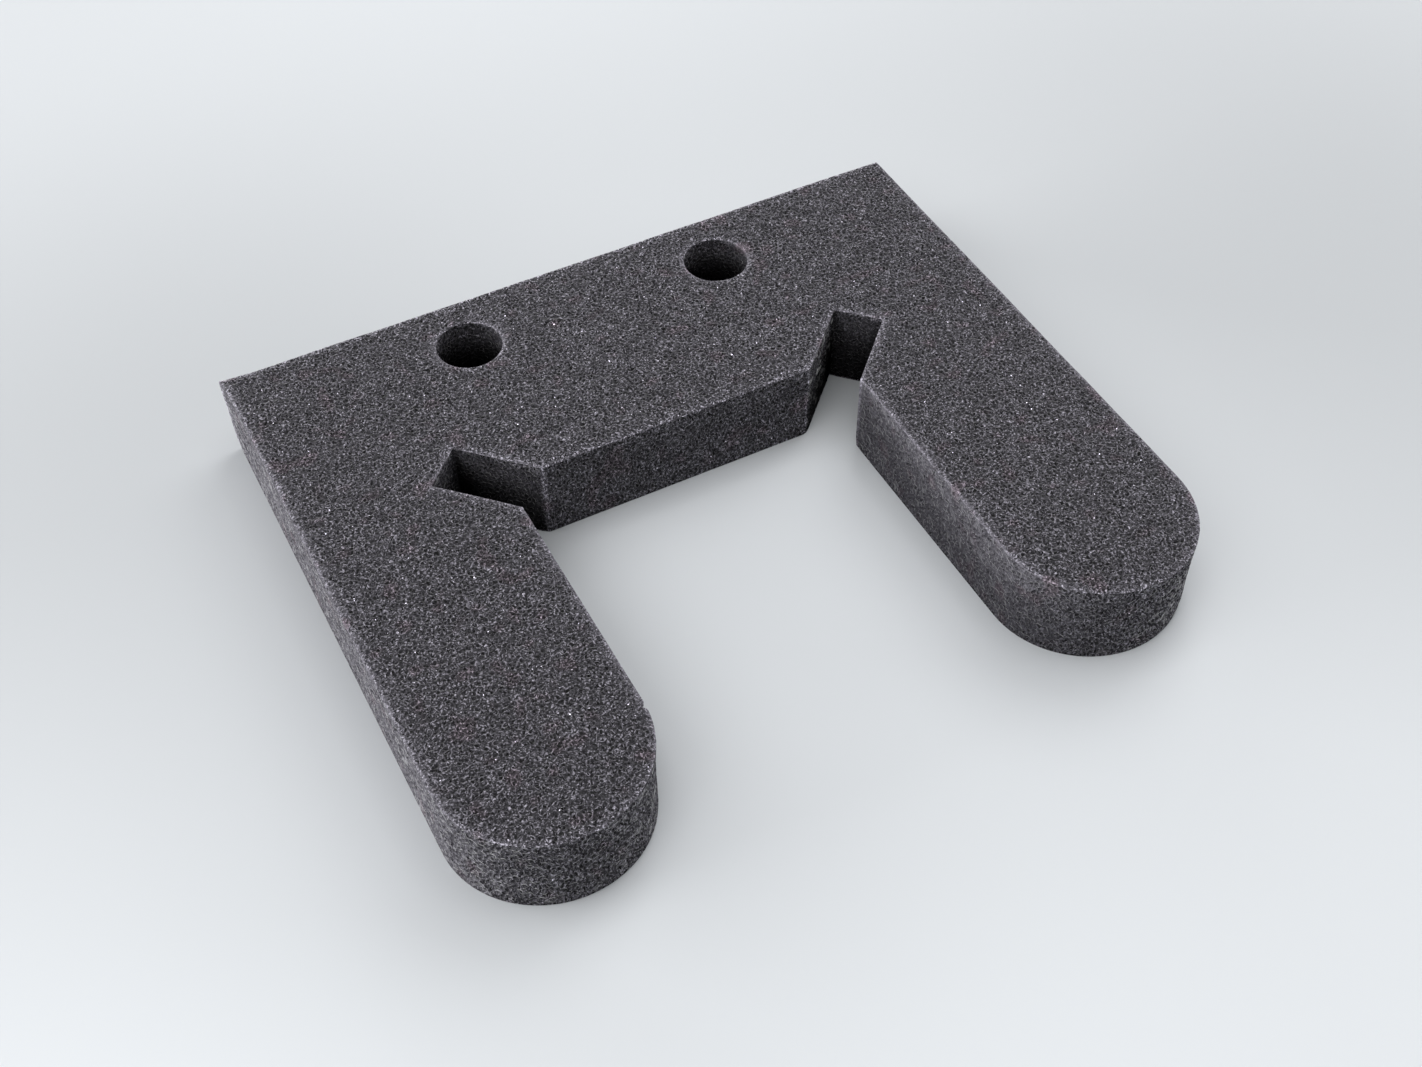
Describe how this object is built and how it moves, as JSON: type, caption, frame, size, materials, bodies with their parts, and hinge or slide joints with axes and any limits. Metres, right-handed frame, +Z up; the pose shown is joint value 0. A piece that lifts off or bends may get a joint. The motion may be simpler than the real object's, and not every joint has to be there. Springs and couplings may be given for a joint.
{
  "type": "polyurethane foam sheet",
  "caption": "Flat pad of charcoal open-cell foam, cut through as a wide U with rounded leg ends, round holes in the bridge and diagonal slots in its inner corners.",
  "frame": {"origin": "on the underside, in the middle of the overall outline", "axes": "+Z up through the thickness, +Y towards the straight back edge of the bridge, +X to the right across the two legs"},
  "size_m": [0.2, 0.171, 0.025],
  "materials": {
    "charcoal_foam": "matte"
  },
  "bodies": {
    "root": {"foam_pad": "charcoal_foam"}
  },
  "joints": []
}
